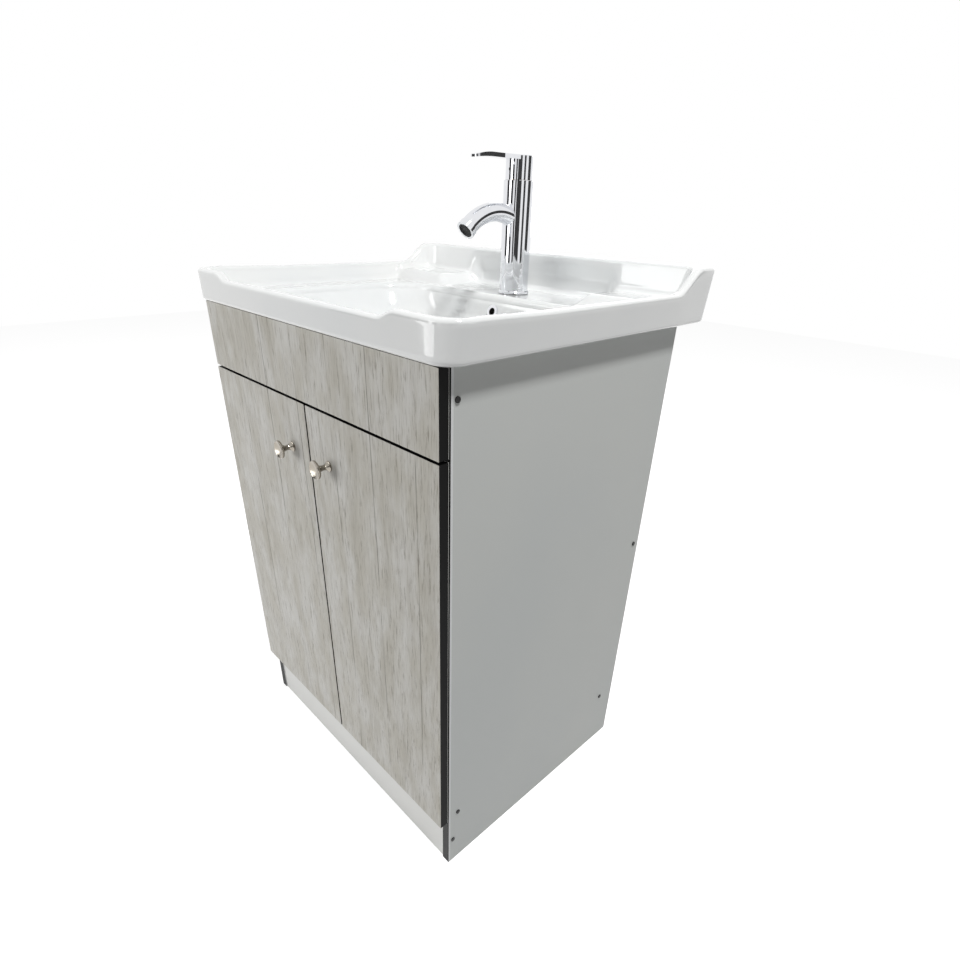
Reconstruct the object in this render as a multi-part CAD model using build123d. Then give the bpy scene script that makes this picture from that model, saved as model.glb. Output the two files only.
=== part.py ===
from build123d import *
import os
from math import atan2, cos, degrees, radians, sin

# A floor-standing bathroom vanity: a two-door melamine cabinet, a ceramic basin
# that rests on it, a single-lever tap, and a waste with its trap.
# All sizes are in millimetres. X runs to the cabinet's right, Y to the wall and
# Z up. While the pieces are drawn, Y is 0 on the outer faces of the doors.

# Cabinet boards
board = 15.0
cabinet_width = 600.0
cabinet_height = 860.0
side_depth = 460.0
bottom_depth = 440.0
toe_kick_height = 112.5
rail_setback = 2.0
front_rail_height = 76.0
rear_rail_height = 80.0
rear_rail_drop = 381.5
rear_rail_inset = 7.5
wall_hole_spacing = 400.0
wall_hole_radius = 3.5

# Doors and false front
door_edge_inset = 1.0
door_gap = 4.0
door_to_side_gap = 1.5
door_bottom = 109.5
false_front_height = 104.0
false_front_top_gap = 1.0
bumper_radius = 4.0
bumper_offset = 30.0

# Screws through the side panels
screw_head_radius = 3.8
screw_head_height = 1.6
screw_shank_radius = 2.0
screw_length = 48.0
front_screw_margin = 20.0
rear_screw_margin = 22.0

# Angles behind the false front
bracket_leg = 28.0
bracket_width = 20.0
bracket_thickness = 1.8
bracket_screw_radius = 1.6
bracket_screw_length = 11.0
small_head_height = 1.2

# Knobs
knob_drop = 78.0
knob_offset = 53.0
knob_base_radius = 8.0
knob_neck_radius = 4.0
knob_dish_radius = 14.0
knob_length = 24.0
knob_thread_depth = 9.0
knob_screw_radius = 2.0
knob_screw_head_radius = 4.2
knob_screw_head_height = 2.2

# Concealed hinges
hinge_end_distance = 92.0
cup_radius = 17.5
cup_depth = 11.5
cup_wall = 0.8
cup_edge_distance = 3.5
cup_flange_length = 54.0
cup_flange_width = 20.0
cup_flange_thickness = 1.2
cup_screw_spacing = 45.0
cup_screw_radius = 1.7
cup_screw_length = 11.0
arm_width = 12.0
arm_depth = 12.0
arm_length = 62.0
arm_wall = 1.4
arm_nose_reach = 7.0
plate_setback = 18.0
plate_length = 40.0
plate_thickness = 5.0
plate_wing_span = 46.0
plate_wing_length = 18.0
plate_wing_thickness = 2.0
plate_screw_spacing = 32.0
plate_screw_radius = 2.1
plate_screw_length = 12.0
hinge_pin_radius = 1.5

# Basin
basin_half_width = 318.0
basin_flare = 5.0
basin_front = -6.0
basin_rear = 525.0
basin_foot_radius = 6.0
basin_front_corner = 30.0
basin_rear_corner = 12.0
front_rim_height = 38.0
hump_height = 49.0
side_rim_height = 47.0
backsplash_height = 79.5
backsplash_thickness = 34.0
sweep_start = 95.0
sweep_end = 43.0
deck_height = 15.5
shelf_height = 33.0
shelf_offset = 172.0
shelf_front = 398.0
rim_thickness = 15.0
rim_draft = 4.0
bowl_wall = 9.0
bowl_depth = 123.5
bowl_centre = 213.0
bowl_reach = 248.0
bowl_front = 46.0
bowl_rear = 381.0
bowl_corner = 85.0
bowl_rear_slope = 0.325
bowl_floor_reach = 92.0
bowl_floor_half_depth = 52.0
overflow_radius = 9.0
overflow_drop = 12.0

# Tap
tap_setback = 427.0
tap_hole_radius = 17.5
tap_body_radius = 25.0
tap_body_height = 172.0
tap_lip = 0.9
tap_shank_radius = 16.0
tap_shank_length = 45.0
spout_radius = 14.0
spout_arc_radius = 92.0
spout_apex_height = 126.0
spout_apex_reach = 52.0
spout_end_angle = 40.0
aerator_radius = 15.2
aerator_length = 9.0
base_ring_radius = 27.0
base_ring_height = 5.0
tap_gasket_height = 1.0
inlet_radius = 4.5
inlet_spacing = 14.0
inlet_depth = 14.0
cap_radius = 22.8
cap_height = 34.0
cap_wall = 2.5
lever_reach = 104.0
lever_width = 22.0
lever_thickness = 6.0
cartridge_radius = 17.5
cartridge_height = 36.0
stem_width = 7.8
set_screw_radius = 2.5
fixing_nut_radius = 23.0
fixing_nut_height = 9.0
washer_thickness = 3.0

# Waste and trap
waste_radius = 21.0
waste_wall = 3.0
waste_length = 62.0
waste_flange_radius = 32.0
waste_flange_height = 2.0
plug_radius = 29.0
plug_stem_radius = 4.0
plug_stem_length = 52.0
waste_gasket_height = 1.0
pipe_radius = 16.0
pipe_wall = 1.8
trap_wall = 2.2
trap_bend_radius = 42.0
tail_drop = 69.0
trap_leg = 62.0
trap_elbow_radius = 30.0
trap_outlet_rise = 52.0
slip_nut_wall = 5.0
slip_nut_height = 16.0

# Clearances
seat_gap = 0.3
fit = 0.05

# Places that follow from the sizes above
half_width = cabinet_width / 2
rear_rail_centre = cabinet_height - rear_rail_drop
inner_half_width = half_width - board
panel_front = board + door_to_side_gap
panel_rear = panel_front + side_depth
rail_front = panel_front + rail_setback
false_front_bottom = cabinet_height - false_front_top_gap - false_front_height
door_top = false_front_bottom - door_gap
knob_height = door_top - knob_drop
door_outer = half_width - door_edge_inset
hinge_heights = [door_bottom + hinge_end_distance, door_top - hinge_end_distance]
cup_centre = door_outer - cup_edge_distance - cup_radius
bracket_low = false_front_bottom + 4.0
deck_z = cabinet_height + deck_height
bowl_floor = deck_z - bowl_depth
waste_low = bowl_floor + waste_gasket_height - waste_length
trap_inlet_height = waste_low - tail_drop
trap_floor_height = trap_inlet_height - trap_leg
trap_outlet_height = trap_floor_height + trap_outlet_rise
trap_rear = bowl_centre + 2 * trap_bend_radius
socket_radius = pipe_radius + fit
bend_radius = socket_radius + trap_wall
tap_top = deck_z + tap_body_height
origin_depth = (basin_rear - knob_length) / 2


def keep(name, shape):
    """Write one node, with Y measured from the middle of the whole object's depth."""
    export_step(Pos(0, -origin_depth, 0) * shape, "parts/" + name + ".step")


def block(x0, x1, y0, y1, z0, z1):
    """A box between two opposite corners, given in any order."""
    centre = Pos((x0 + x1) / 2, (y0 + y1) / 2, (z0 + z1) / 2)
    return centre * Box(abs(x1 - x0), abs(y1 - y0), abs(z1 - z0))


def rod(radius, start, direction, length):
    """A cylinder that begins at start and runs along direction."""
    return Plane(origin=start, z_dir=direction) * extrude(Circle(radius), length)


def tube(outer, inner, start, direction, length):
    """A round pipe that begins at start and runs along direction."""
    return Plane(origin=start, z_dir=direction) * extrude(Circle(outer) - Circle(inner), length)


def at(radius, height):
    """A point of a turned piece's outline."""
    return (radius, 0, height)


def turned(points):
    """A solid turned about Z from a closed outline of (radius, height) points."""
    outline = make_face(Polyline(*[at(r, h) for r, h in points], close=True))
    return revolve(outline, Axis.Z)


def group(solids):
    """Like solids kept together in one node."""
    return Compound([solid for piece in solids for solid in piece.solids()])


def cut_all(shape, tools):
    """Take each tool out of a shape in turn."""
    for tool in tools:
        shape = shape - tool
    return shape


def wood_screw(seat, direction, radius, length, clearance=0.0):
    """A small pan-head screw: its head lies on seat and its shank runs along direction."""
    back = tuple(seat[i] - direction[i] * small_head_height for i in range(3))
    head = rod(radius * 1.9 + clearance, back, direction, small_head_height)
    return head + rod(radius + clearance, seat, direction, length + clearance)


def side_screws(side, clearance=0.0):
    """The five screws driven inwards through one side panel."""
    places = [
        (cabinet_height - front_rail_height / 2, rail_front + board / 2),
        (rear_rail_centre, panel_rear - rear_rail_inset - board / 2),
        (toe_kick_height + board / 2, panel_front + bottom_depth - rear_screw_margin),
        (toe_kick_height + board / 2, panel_front + front_screw_margin),
        (toe_kick_height / 2, rail_front + board / 2),
    ]
    found = []
    for height, depth in places:
        start = (side * (half_width + screw_head_height), depth, height)
        head = rod(screw_head_radius, start, (-side, 0, 0), screw_head_height)
        face = (side * half_width, depth, height)
        shank = rod(screw_shank_radius + clearance, face, (-side, 0, 0), screw_length + clearance)
        found.append(head + shank)
    return found


def side_panel(side):
    """One upright side, drilled for the screws, hinge plates and angle."""
    panel = block(side * inner_half_width, side * half_width, panel_front, panel_rear, 0, cabinet_height)
    panel = cut_all(panel, side_screws(side, fit))
    for height in hinge_heights:
        panel = cut_all(panel, plate_screws(side, height, fit))
    return panel - bracket_side_screw(side, fit)


def cross_board(y0, y1, z0, z1):
    """A board held between the two sides by their screws."""
    shape = block(-inner_half_width, inner_half_width, y0, y1, z0, z1)
    return cut_all(shape, side_screws(1, fit) + side_screws(-1, fit))


def bottom_panel():
    """The cabinet's floor."""
    return cross_board(panel_front, panel_front + bottom_depth, toe_kick_height, toe_kick_height + board)


def toe_kick():
    """The plinth board below the doors."""
    return cross_board(rail_front, rail_front + board, 0, toe_kick_height)


def front_rail():
    """The upright rail behind the false front."""
    return cross_board(rail_front, rail_front + board, cabinet_height - front_rail_height, cabinet_height)


def rear_rail():
    """The rail across the open back, with two holes for wall screws."""
    rear = panel_rear - rear_rail_inset
    low = rear_rail_centre - rear_rail_height / 2
    shape = cross_board(rear - board, rear, low, low + rear_rail_height)
    for x in (-wall_hole_spacing / 2, wall_hole_spacing / 2):
        shape = shape - rod(wall_hole_radius, (x, rear - board, rear_rail_centre), (0, 1, 0), board)
    return shape


def false_front():
    """The fixed panel above the doors."""
    shape = block(-door_outer, door_outer, 0, board, false_front_bottom, false_front_bottom + false_front_height)
    return cut_all(shape, [bracket_front_screw(side, fit) for side in (-1, 1)])


def bracket(side):
    """A bent steel angle that joins the false front to a side panel."""
    corner = side * inner_half_width
    top = bracket_low + bracket_width
    front = block(corner, corner - side * bracket_leg, board, board + bracket_thickness, bracket_low, top)
    back = block(corner, corner - side * bracket_thickness, board, board + bracket_leg, bracket_low, top)
    return front + back - bracket_front_screw(side, fit) - bracket_side_screw(side, fit)


def bracket_front_screw(side, clearance=0.0):
    """The screw from an angle into the back of the false front."""
    x = side * (inner_half_width - bracket_leg * 0.6)
    seat = (x, board + bracket_thickness, bracket_low + bracket_width / 2)
    return wood_screw(seat, (0, -1, 0), bracket_screw_radius, bracket_screw_length, clearance)


def bracket_side_screw(side, clearance=0.0):
    """The screw from an angle into the inner face of a side panel."""
    x = side * (inner_half_width - bracket_thickness)
    seat = (x, board + bracket_leg * 0.6, bracket_low + bracket_width / 2)
    return wood_screw(seat, (side, 0, 0), bracket_screw_radius, bracket_screw_length, clearance)


def door(side):
    """One overlay door, bored for its hinge cups and its knob."""
    shape = block(side * door_gap / 2, side * door_outer, 0, board, door_bottom, door_top)
    for height in hinge_heights:
        start = (side * cup_centre, board, height)
        shape = shape - rod(cup_radius + fit, start, (0, -1, 0), cup_depth + fit)
        shape = cut_all(shape, cup_screws(side, height, fit))
    start = (side * knob_offset, board, knob_height)
    return shape - rod(knob_screw_radius + fit, start, (0, -1, 0), board)


def knob(side):
    """A cast knob with a flared foot, a thin neck and a dished face."""
    bore = knob_screw_radius + fit
    waist = knob_length * 0.42
    rim = knob_length - 3.2
    edge = knob_dish_radius - 0.8
    foot_edge = 1.4
    outline = [
        Line(at(bore, 0), at(knob_base_radius, 0)),
        Line(at(knob_base_radius, 0), at(knob_base_radius, foot_edge)),
        ThreePointArc(
            at(knob_base_radius, foot_edge),
            at(knob_neck_radius + 1.1, waist * 0.45),
            at(knob_neck_radius, waist),
        ),
        ThreePointArc(
            at(knob_neck_radius, waist),
            at(knob_neck_radius + 2.6, waist + (rim - waist) * 0.66),
            at(knob_dish_radius, rim),
        ),
        Line(at(knob_dish_radius, rim), at(knob_dish_radius, knob_length - 0.8)),
        Line(at(knob_dish_radius, knob_length - 0.8), at(edge, knob_length)),
        Spline(
            [at(edge, knob_length), at(edge * 0.5, knob_length - 2.5), at(0, knob_length - 3.4)],
            tangents=[at(-1, -0.5), at(-1, 0)],
        ),
        Line(at(0, knob_length - 3.4), at(0, knob_thread_depth)),
        Line(at(0, knob_thread_depth), at(bore, knob_thread_depth)),
        Line(at(bore, knob_thread_depth), at(bore, 0)),
    ]
    solid = revolve(make_face(outline), Axis.Z)
    return Pos(side * knob_offset, 0, knob_height) * Rot(90, 0, 0) * solid


def knob_screw(side):
    """The machine screw that pulls a knob onto its door from inside."""
    x = side * knob_offset
    start = (x, board + knob_screw_head_height, knob_height)
    head = rod(knob_screw_head_radius, start, (0, -1, 0), knob_screw_head_height)
    length = board + knob_thread_depth - 1.0
    return head + rod(knob_screw_radius, (x, board, knob_height), (0, -1, 0), length)


def hinge_cup(side, height):
    """A pressed steel cup with a flange, let into the back of a door."""
    centre = (side * cup_centre, board, height)
    outside = rod(cup_radius, centre, (0, -1, 0), cup_depth)
    half_length = cup_flange_length / 2
    reach = cup_flange_width / 2
    flange = block(
        centre[0] - reach,
        centre[0] + reach,
        board,
        board + cup_flange_thickness,
        height - half_length,
        height + half_length,
    )
    top = (centre[0], board + cup_flange_thickness, height)
    inside = rod(cup_radius - cup_wall, top, (0, -1, 0), cup_depth + cup_flange_thickness - cup_wall)
    return cut_all(outside + flange - inside, cup_screws(side, height, fit))


def cup_screws(side, height, clearance=0.0):
    """The two screws through a cup's flange."""
    found = []
    for z in (-cup_screw_spacing / 2, cup_screw_spacing / 2):
        seat = (side * cup_centre, board + cup_flange_thickness, height + z)
        found.append(wood_screw(seat, (0, -1, 0), cup_screw_radius, cup_screw_length, clearance))
    return found


def hinge_plate(side, height):
    """The cross-shaped mounting plate on the inner face of a side panel."""
    face = side * inner_half_width
    y0 = panel_front + plate_setback
    half_arm = arm_width / 2
    half_span = plate_wing_span / 2
    spine = block(face, face - side * plate_thickness, y0, y0 + plate_length, height - half_arm, height + half_arm)
    wing_front = y0 + (plate_length - plate_wing_length) / 2
    wings = block(
        face,
        face - side * plate_wing_thickness,
        wing_front,
        wing_front + plate_wing_length,
        height - half_span,
        height + half_span,
    )
    return cut_all(spine + wings, plate_screws(side, height, fit))


def plate_screws(side, height, clearance=0.0):
    """The two screws that hold a mounting plate."""
    found = []
    depth = panel_front + plate_setback + plate_length / 2
    for z in (-plate_screw_spacing / 2, plate_screw_spacing / 2):
        seat = (side * (inner_half_width - plate_wing_thickness), depth, height + z)
        found.append(wood_screw(seat, (side, 0, 0), plate_screw_radius, plate_screw_length, clearance))
    return found


def hinge_arm(side, height):
    """The folded steel arm that runs from its plate into the cup."""
    face = side * (inner_half_width - plate_thickness)
    far = face - side * arm_depth
    y0 = board - arm_nose_reach
    half_arm = arm_width / 2
    shell = block(face, far, y0, y0 + arm_length, height - half_arm, height + half_arm)
    channel = block(
        face,
        far + side * arm_wall,
        y0,
        y0 + arm_length,
        height - half_arm + arm_wall,
        height + half_arm - arm_wall,
    )
    pin_start = ((face + far) / 2, y0 + 3.5, height - half_arm)
    return shell - channel + rod(hinge_pin_radius, pin_start, (0, 0, 1), arm_width)


def bumper(x):
    """A soft button that stops a door against the edge of the cabinet's floor."""
    start = (x, panel_front, toe_kick_height + board / 2)
    return rod(bumper_radius, start, (0, -1, 0), door_to_side_gap - seat_gap)


def basin_plan(spread, z):
    """The basin's outline at one height, run a little past the flat rear that the profiles cut."""
    width = 2 * (basin_half_width + spread)
    rear = basin_rear + 1.0
    outline = Rectangle(width, rear - basin_front)
    outline = fillet(outline.vertices().group_by(Axis.Y)[0], basin_front_corner)
    outline = fillet(outline.vertices().group_by(Axis.Y)[-1], basin_rear_corner)
    return Pos(0, (rear + basin_front) / 2, z) * outline


def rim_profile():
    """The basin seen from the front: a low middle, a hump at each corner."""
    base = cabinet_height
    low = base + front_rim_height
    high = base + hump_height
    end = base + side_rim_height
    wide = basin_half_width + basin_flare
    right = [
        Line((0, low), (wide * 0.61, low)),
        Spline([(wide * 0.61, low), (wide * 0.665, (low + high) / 2), (wide * 0.72, high)], tangents=[(1, 0), (1, 0)]),
        Line((wide * 0.72, high), (wide * 0.84, high)),
        Line((wide * 0.84, high), (wide, end)),
        Line((wide, end), (wide, base)),
        Line((wide, base), (0, base)),
        Line((0, base), (0, low)),
    ]
    face = Face(Wire(right))
    half = extrude(Plane.XZ * face, basin_rear - basin_front, dir=(0, 1, 0))
    half = Pos(0, basin_front, 0) * half
    return half + mirror(half, Plane.YZ)


def backsplash_profile():
    """The basin seen from the side: each rim sweeps up to the backsplash."""
    base = cabinet_height
    rim = base + side_rim_height
    top = base + backsplash_height
    start = basin_rear - sweep_start
    end = basin_rear - sweep_end
    wide = basin_half_width + basin_flare
    wire = Wire(
        [
            Line((start, base), (start, rim)),
            Spline([(start, rim), ((start + end) / 2, (rim + top) / 2), (end, top)], tangents=[(1, 0), (1, 0)]),
            Line((end, top), (basin_rear, top)),
            Line((basin_rear, top), (basin_rear, base)),
            Line((basin_rear, base), (start, base)),
        ]
    )
    return Pos(-wide, 0, 0) * extrude(Plane.YZ * Face(wire), 2 * wide, dir=(1, 0, 0))


def bowl_form(wall):
    """The bowl's hollow, or with a wall thickness the outside of its shell."""
    levels = [
        (deck_z + 4.5, bowl_reach + 14.0, bowl_front - 10.0, bowl_rear + 7.0, bowl_corner - 5.0),
        (cabinet_height, bowl_reach, bowl_front, bowl_rear, bowl_corner),
        (cabinet_height - 40.0, bowl_reach - 26.0, bowl_front + 18.0, bowl_rear - 13.0, bowl_corner + 5.0),
        (bowl_floor + 22.0, bowl_reach - 80.0, bowl_front + 62.0, bowl_rear - 53.0, bowl_corner - 1.0),
        (bowl_floor, bowl_floor_reach, bowl_centre - bowl_floor_half_depth, bowl_centre + bowl_floor_half_depth, 44.0),
    ]
    sections = []
    for z, reach, front, rear, corner in levels:
        drop = wall if z == bowl_floor else 0.0
        outline = RectangleRounded(2 * (reach + wall), rear - front + 2 * wall, corner + wall)
        sections.append(Pos(0, (front + rear) / 2, z - drop) * outline)
    return loft(sections)


def basin():
    """The glazed ceramic basin: slab, rim, backsplash, soap shelves and bowl."""
    outside = loft([basin_plan(0.0, cabinet_height), basin_plan(basin_flare, cabinet_height + backsplash_height)])
    outside = fillet(outside.edges().group_by(Axis.Z)[0], basin_foot_radius)
    shape = outside & (rim_profile() + backsplash_profile())
    high = cabinet_height + backsplash_height
    tray_rear = basin_rear - backsplash_thickness
    tray_front = basin_front + rim_thickness
    tray_reach = basin_half_width - rim_thickness
    tray_sections = []
    for z, spread in ((deck_z, 0.0), (high + 1.0, rim_draft)):
        outline = RectangleRounded(
            2 * (tray_reach + spread),
            tray_rear - tray_front + 2 * spread,
            basin_front_corner,
        )
        tray_sections.append(Pos(0, (tray_rear + tray_front) / 2, z) * outline)
    shape = shape - loft(tray_sections)
    for side in (-1, 1):
        shelf = block(
            side * shelf_offset,
            side * (tray_reach + rim_draft),
            shelf_front,
            tray_rear + rim_draft,
            deck_z - 1.0,
            cabinet_height + shelf_height,
        )
        shape = shape + shelf
    low = block(-basin_half_width, basin_half_width, basin_front, basin_rear, 0, cabinet_height + deck_height / 2)
    shell = bowl_form(bowl_wall) & low
    shape = shape + shell - bowl_form(0.0)
    shape = shape - rod(tap_hole_radius, (0, tap_setback, cabinet_height), (0, 0, 1), deck_height)
    drain = rod(waste_radius + 1.5, (0, bowl_centre, bowl_floor - bowl_wall), (0, 0, 1), bowl_wall)
    return shape - drain - overflow_rod(overflow_radius, -4.0, 11.0)


def overflow_rod(radius, start, length):
    """A cylinder on the overflow's axis, which stands square to the bowl's rear wall."""
    slope = atan2(bowl_rear_slope, 1.0)
    z = cabinet_height - overflow_drop
    y = bowl_rear - overflow_drop * bowl_rear_slope
    along = (0, cos(slope), -sin(slope))
    origin = (0, y + along[1] * start, z + along[2] * start)
    return rod(radius, origin, along, length)


def overflow_ring(bowl):
    """The chromed ring that lines the overflow hole, its flange shaped to the bowl's wall."""
    ring = overflow_rod(overflow_radius + 2.5, -2.4, 3.4) + overflow_rod(overflow_radius - fit, -2.4, 8.0)
    return ring - overflow_rod(overflow_radius - 2.5, -4.0, 12.0) - bowl


def spout_arc(angle):
    """The point of the spout's centre line at an angle forward of its apex."""
    turn = radians(angle)
    y = tap_setback - spout_apex_reach - spout_arc_radius * sin(turn)
    z = deck_z + spout_apex_height - spout_arc_radius * (1 - cos(turn))
    return (0, y, z)


def spout_end(distance):
    """A point on the spout's axis, a distance beyond its cut end."""
    turn = radians(spout_end_angle)
    x, y, z = spout_arc(spout_end_angle)
    return (x, y - cos(turn) * distance, z - sin(turn) * distance)


spout_direction = (0, -cos(radians(spout_end_angle)), -sin(radians(spout_end_angle)))


def tap_body():
    """The cast tap body with its curved spout and threaded shank."""
    z0 = deck_z + tap_gasket_height + base_ring_height
    column = rod(tap_body_radius, (0, tap_setback, z0), (0, 0, 1), tap_top - z0)
    column = chamfer(column.edges().group_by(Axis.Z)[-1], 0.5)
    path = ThreePointArc(spout_arc(-28.0), spout_arc(5.0), spout_arc(spout_end_angle))
    turn = radians(-28.0)
    section = Plane(origin=spout_arc(-28.0), z_dir=(0, -cos(turn), -sin(turn))) * Circle(spout_radius)
    shape = column + sweep(section, path)
    shank = rod(tap_shank_radius, (0, tap_setback, deck_z - tap_shank_length), (0, 0, 1), tap_shank_length + 20.0)
    shape = shape + shank
    groove = tube(tap_body_radius - tap_lip, cartridge_radius + 1.4, (0, tap_setback, tap_top - 9.0), (0, 0, 1), 9.0)
    collar_top = tube(cartridge_radius + 2.0, cartridge_radius - 1.0, (0, tap_setback, tap_top - 2.0), (0, 0, 1), 2.0)
    well = rod(cartridge_radius + fit, (0, tap_setback, tap_top - 2.0 - cartridge_height), (0, 0, 1), cartridge_height + 2.0)
    mouth = rod(spout_radius - 3.0, spout_end(-10.0), spout_direction, 10.0)
    shape = cut_all(shape, [groove, collar_top, well, mouth])
    for side in (-1, 1):
        start = (side * inlet_spacing / 2, tap_setback, deck_z - tap_shank_length)
        shape = shape - rod(inlet_radius, start, (0, 0, 1), inlet_depth)
    return shape


def aerator_ring():
    """The chromed ring screwed into the spout's mouth."""
    ring = rod(aerator_radius, spout_end(0.0), spout_direction, aerator_length)
    spigot = rod(spout_radius - 3.0 - fit, spout_end(-7.0), spout_direction, 7.0)
    bore = rod(spout_radius - 5.0, spout_end(-8.0), spout_direction, aerator_length + 8.0)
    seat = rod(aerator_radius - 3.4, spout_end(2.0), spout_direction, aerator_length)
    return ring + spigot - bore - seat


def aerator_insert():
    """The moulded honeycomb insert inside the aerator."""
    body = rod(aerator_radius - 3.4 - fit, spout_end(2.0), spout_direction, 4.0)
    return body + rod(spout_radius - 5.0 - fit, spout_end(-6.0), spout_direction, 8.0)


def base_ring():
    """The stepped chromed ring under the tap's body."""
    z0 = deck_z + tap_gasket_height
    inner = tap_shank_radius + seat_gap
    ring = turned(
        [
            (inner, 0),
            (base_ring_radius, 0),
            (base_ring_radius, 3.0),
            (tap_body_radius + 0.6, base_ring_height),
            (inner, base_ring_height),
        ]
    )
    return Pos(0, tap_setback, z0) * ring


def cartridge():
    """The ceramic-disc cartridge seated in the tap's body."""
    z0 = tap_top - 2.0 - cartridge_height
    housing = rod(cartridge_radius, (0, tap_setback, z0), (0, 0, 1), cartridge_height)
    return housing - rod(11.5 + fit, (0, tap_setback, tap_top - 16.0), (0, 0, 1), 14.0)


def cartridge_nut():
    """The brass ring that holds the cartridge down."""
    return tube(cartridge_radius + 0.9, 9.5, (0, tap_setback, tap_top - 2.0), (0, 0, 1), 3.0)


def cartridge_carrier():
    """The slotted disc that turns with the lever inside the cartridge."""
    z0 = tap_top - 16.0 + seat_gap
    disc = rod(11.5, (0, tap_setback, z0), (0, 0, 1), 12.0)
    slot = block(-4.2, 4.2, tap_setback - 8.7, tap_setback + 8.7, z0 + 1.2, z0 + 12.0)
    return disc - slot


def cartridge_stem():
    """The square stem that the lever is clamped to."""
    half = stem_width / 2
    return block(-half, half, tap_setback - half, tap_setback + half, tap_top - 12.0, tap_top + 20.0)


def lever_handle():
    """The lever: a hollow cap with a flat blade reaching forward."""
    low = tap_top + 0.4
    high = low + cap_height
    cap = rod(cap_radius, (0, tap_setback, low), (0, 0, 1), cap_height)
    cap = chamfer(cap.edges().group_by(Axis.Z)[-1], 0.8)
    hollow = rod(cap_radius - cap_wall, (0, tap_setback, low), (0, 0, 1), cap_height - lever_thickness - 4.0)
    hub = rod(9.0, (0, tap_setback, low + 4.0), (0, 0, 1), cap_height - lever_thickness - 8.0)
    half = stem_width / 2 + fit
    socket = block(-half, half, tap_setback - half, tap_setback + half, low, tap_top + 20.0 + fit)
    tip = tap_setback - lever_reach
    plan = make_face(
        Polyline(
            (-lever_width / 2 - 6, tap_setback - 12),
            (lever_width / 2 + 6, tap_setback - 12),
            (lever_width / 2, tap_setback - 46),
            (lever_width / 2 - 2, tip),
            (-lever_width / 2 + 2, tip),
            (-lever_width / 2, tap_setback - 46),
            close=True,
        )
    )
    plan = fillet(plan.vertices().group_by(Axis.Y)[0], 6.0)
    blade = extrude(Pos(0, 0, high - 12) * plan, 12, dir=(0, 0, 1))
    side_view = Wire(
        [
            Line((tap_setback, high), (tip + 34, high)),
            ThreePointArc((tip + 34, high), (tip + 16, high - 1.4), (tip, high - 5.0)),
            Line((tip, high - 5.0), (tip, high - 8.4)),
            ThreePointArc((tip, high - 8.4), (tip + 18, high - 6.6), (tip + 40, high - lever_thickness)),
            Line((tip + 40, high - lever_thickness), (tap_setback, high - lever_thickness)),
            Line((tap_setback, high - lever_thickness), (tap_setback, high)),
        ]
    )
    slab = Pos(-40, 0, 0) * extrude(Plane.YZ * Face(side_view), 80, dir=(1, 0, 0))
    hole = rod(set_screw_radius + fit, (0, tap_setback - cap_radius - 1, tap_top + 15.0), (0, 1, 0), cap_radius)
    return cap - hollow + hub - socket + (blade & slab) - hole


def lever_set_screw():
    """The grub screw that clamps the lever to the stem, reached from the front."""
    start = (0, tap_setback - 10.5, tap_top + 15.0)
    return rod(set_screw_radius, start, (0, 1, 0), 10.5 - stem_width / 2 - fit)


def tap_fixing():
    """The rubber washer, steel washer and nut under the basin, from the top down."""
    z = cabinet_height
    bore = tap_shank_radius + seat_gap
    rubber = tube(fixing_nut_radius, bore, (0, tap_setback, z), (0, 0, -1), washer_thickness)
    z = z - washer_thickness
    steel = tube(fixing_nut_radius, bore, (0, tap_setback, z), (0, 0, -1), washer_thickness / 2)
    z = z - washer_thickness / 2
    hexagon = RegularPolygon(fixing_nut_radius, 6) - Circle(tap_shank_radius + fit)
    nut = Pos(0, tap_setback, z - fixing_nut_height) * extrude(hexagon, fixing_nut_height)
    return rubber, steel, nut


def waste_body():
    """The waste's chromed flange and threaded tube, with the guide for its plug."""
    z0 = bowl_floor + waste_gasket_height
    inner = waste_radius - waste_wall
    flange = turned(
        [
            (inner, 0),
            (waste_flange_radius, 0),
            (waste_flange_radius - 1.2, waste_flange_height),
            (inner, waste_flange_height),
        ]
    )
    shape = Pos(0, bowl_centre, z0) * flange
    shape = shape + tube(waste_radius, inner, (0, bowl_centre, z0), (0, 0, -1), waste_length)
    low = z0 - 34.0
    for angle in (0, 90):
        arm = Pos(0, bowl_centre, low) * Rot(0, 0, angle) * Box(2 * inner + 1, 3.0, 6.0)
        shape = shape + arm
    bush = rod(plug_stem_radius + 3.0, (0, bowl_centre, low - 3.0), (0, 0, 1), 6.0)
    return shape + bush - rod(plug_stem_radius + fit, (0, bowl_centre, low - 4.0), (0, 0, 1), 8.0)


def drain_plug():
    """The domed push plug and its stem."""
    outline = [
        Line(at(0, -plug_stem_length), at(plug_stem_radius, -plug_stem_length)),
        Line(at(plug_stem_radius, -plug_stem_length), at(plug_stem_radius, 0)),
        Line(at(plug_stem_radius, 0), at(plug_radius, 0)),
        Line(at(plug_radius, 0), at(plug_radius, 1.6)),
        Spline([at(plug_radius, 1.6), at(plug_radius * 0.55, 4.1), at(0, 5.0)], tangents=[at(-1, 0.3), at(-1, 0)]),
        Line(at(0, 5.0), at(0, -plug_stem_length)),
    ]
    seat = bowl_floor + waste_gasket_height + waste_flange_height + seat_gap
    return Pos(0, bowl_centre, seat) * revolve(make_face(outline), Axis.Z)


def waste_gasket():
    """The thin washer between the waste's flange and the bowl."""
    return tube(waste_flange_radius - 1.0, waste_radius + 1.0, (0, bowl_centre, bowl_floor), (0, 0, 1), waste_gasket_height)


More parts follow.
